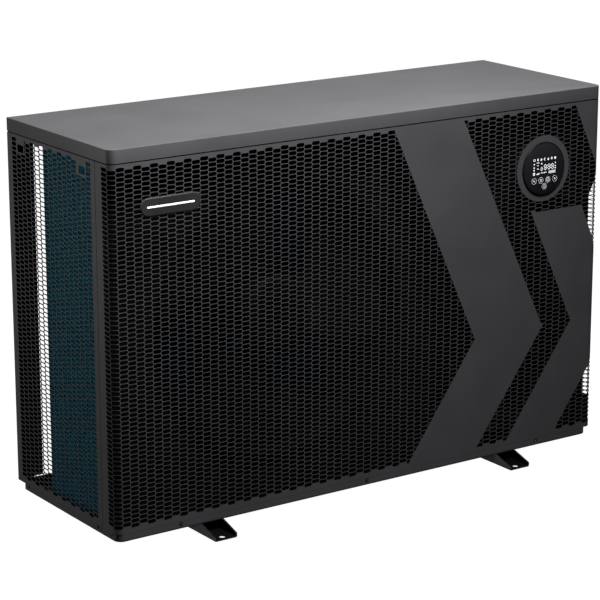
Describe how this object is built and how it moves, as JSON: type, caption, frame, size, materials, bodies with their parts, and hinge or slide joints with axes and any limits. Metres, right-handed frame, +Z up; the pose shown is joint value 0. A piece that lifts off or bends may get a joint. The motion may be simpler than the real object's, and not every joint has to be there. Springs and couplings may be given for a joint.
{
  "type": "pool heat pump",
  "caption": "Low wide pool heat pump with perforated front and side, L-shaped coil, axial fan, round touch controller, side water unions and floor rails.",
  "frame": {"origin": "centre of the bounding box at the floor, between the two foot rails", "axes": "+X towards the water unions on the right side seen from the front, +Y towards the rear, +Z up; the perforated front faces -Y"},
  "size_m": [1.166, 0.4556, 0.73],
  "materials": {
    "graphite_paint": "satin powder coat",
    "blue_fin": "blue coated fins",
    "black_plastic": "matte",
    "controller_gloss": "high gloss",
    "badge_silver": "satin",
    "grey_plastic": "moulded",
    "black_enamel": "semi-gloss",
    "rubber": "matte",
    "copper": "bright copper tube",
    "brass": "machined",
    "steel": "ground",
    "motor_steel": "laminated",
    "titanium": "drawn tube",
    "aluminium": "die cast",
    "circuit_board": "solder mask"
  },
  "bodies": {
    "cabinet": {"lid": "graphite_paint", "front_panel": "graphite_paint", "left_panel": "graphite_paint", "right_panel": "graphite_paint", "rear_panel": "graphite_paint", "base_pan": "graphite_paint", "foot_rail_left": "graphite_paint", "foot_rail_right": "graphite_paint", "wiring_cover": "graphite_paint", "evaporator_fins": "blue_fin", "fan_ring": "black_plastic", "controller_housing": "black_plastic", "flow_switch": "black_plastic", "cable_gland": "black_plastic", "drain_nozzle": "black_plastic", "controller_face": "controller_gloss", "badge": "badge_silver", "exchanger_shell": "grey_plastic", "exchanger_cap": "grey_plastic", "water_inlet_pipe": "grey_plastic", "water_outlet_pipe": "grey_plastic", "inlet_union_nut": "grey_plastic", "outlet_union_nut": "grey_plastic", "inlet_union_tail": "grey_plastic", "outlet_union_tail": "grey_plastic", "terminal_block": "grey_plastic", "evaporator_tube_plate": "black_enamel", "motor_bracket": "black_enamel", "partition": "black_enamel", "fan_bulkhead": "black_enamel", "electrical_box": "black_enamel", "electrical_cover": "black_enamel", "compressor": "black_enamel", "compressor_base": "black_enamel", "accumulator": "black_enamel", "motor_housing": "black_enamel", "compressor_foot_1": "rubber", "compressor_foot_2": "rubber", "compressor_foot_3": "rubber", "discharge_pipe": "copper", "suction_pipe": "copper", "coil_gas_pipe": "copper", "exchanger_gas_pipe": "copper", "exchanger_liquid_pipe": "copper", "coil_liquid_pipe": "copper", "accumulator_pipe": "copper", "reversing_valve": "brass", "expansion_valve": "brass", "motor_front_bearing": "steel", "motor_rear_bearing": "steel", "motor_stator": "motor_steel", "titanium_coil": "titanium", "motor_end_cap": "aluminium", "heat_sink": "aluminium", "inverter_board": "circuit_board"},
    "fan_rotor": {"fan": "black_plastic", "fan_nut": "brass", "motor_shaft": "steel", "motor_rotor": "motor_steel"},
    "flow_paddle_body": {"flow_paddle": "steel"}
  },
  "joints": [
    {"name": "fan_spin", "type": "hinge", "parent": "cabinet", "child": "fan_rotor", "pos_m": [-0.198, -0.09325, 0.3685], "axis": [0, 1, 0], "continuous": true},
    {"name": "paddle_swing", "type": "hinge", "parent": "cabinet", "child": "flow_paddle_body", "pos_m": [0.479, 0.07075, 0.4265], "axis": [0, -1, 0], "range_deg": [0, 28]}
  ]
}
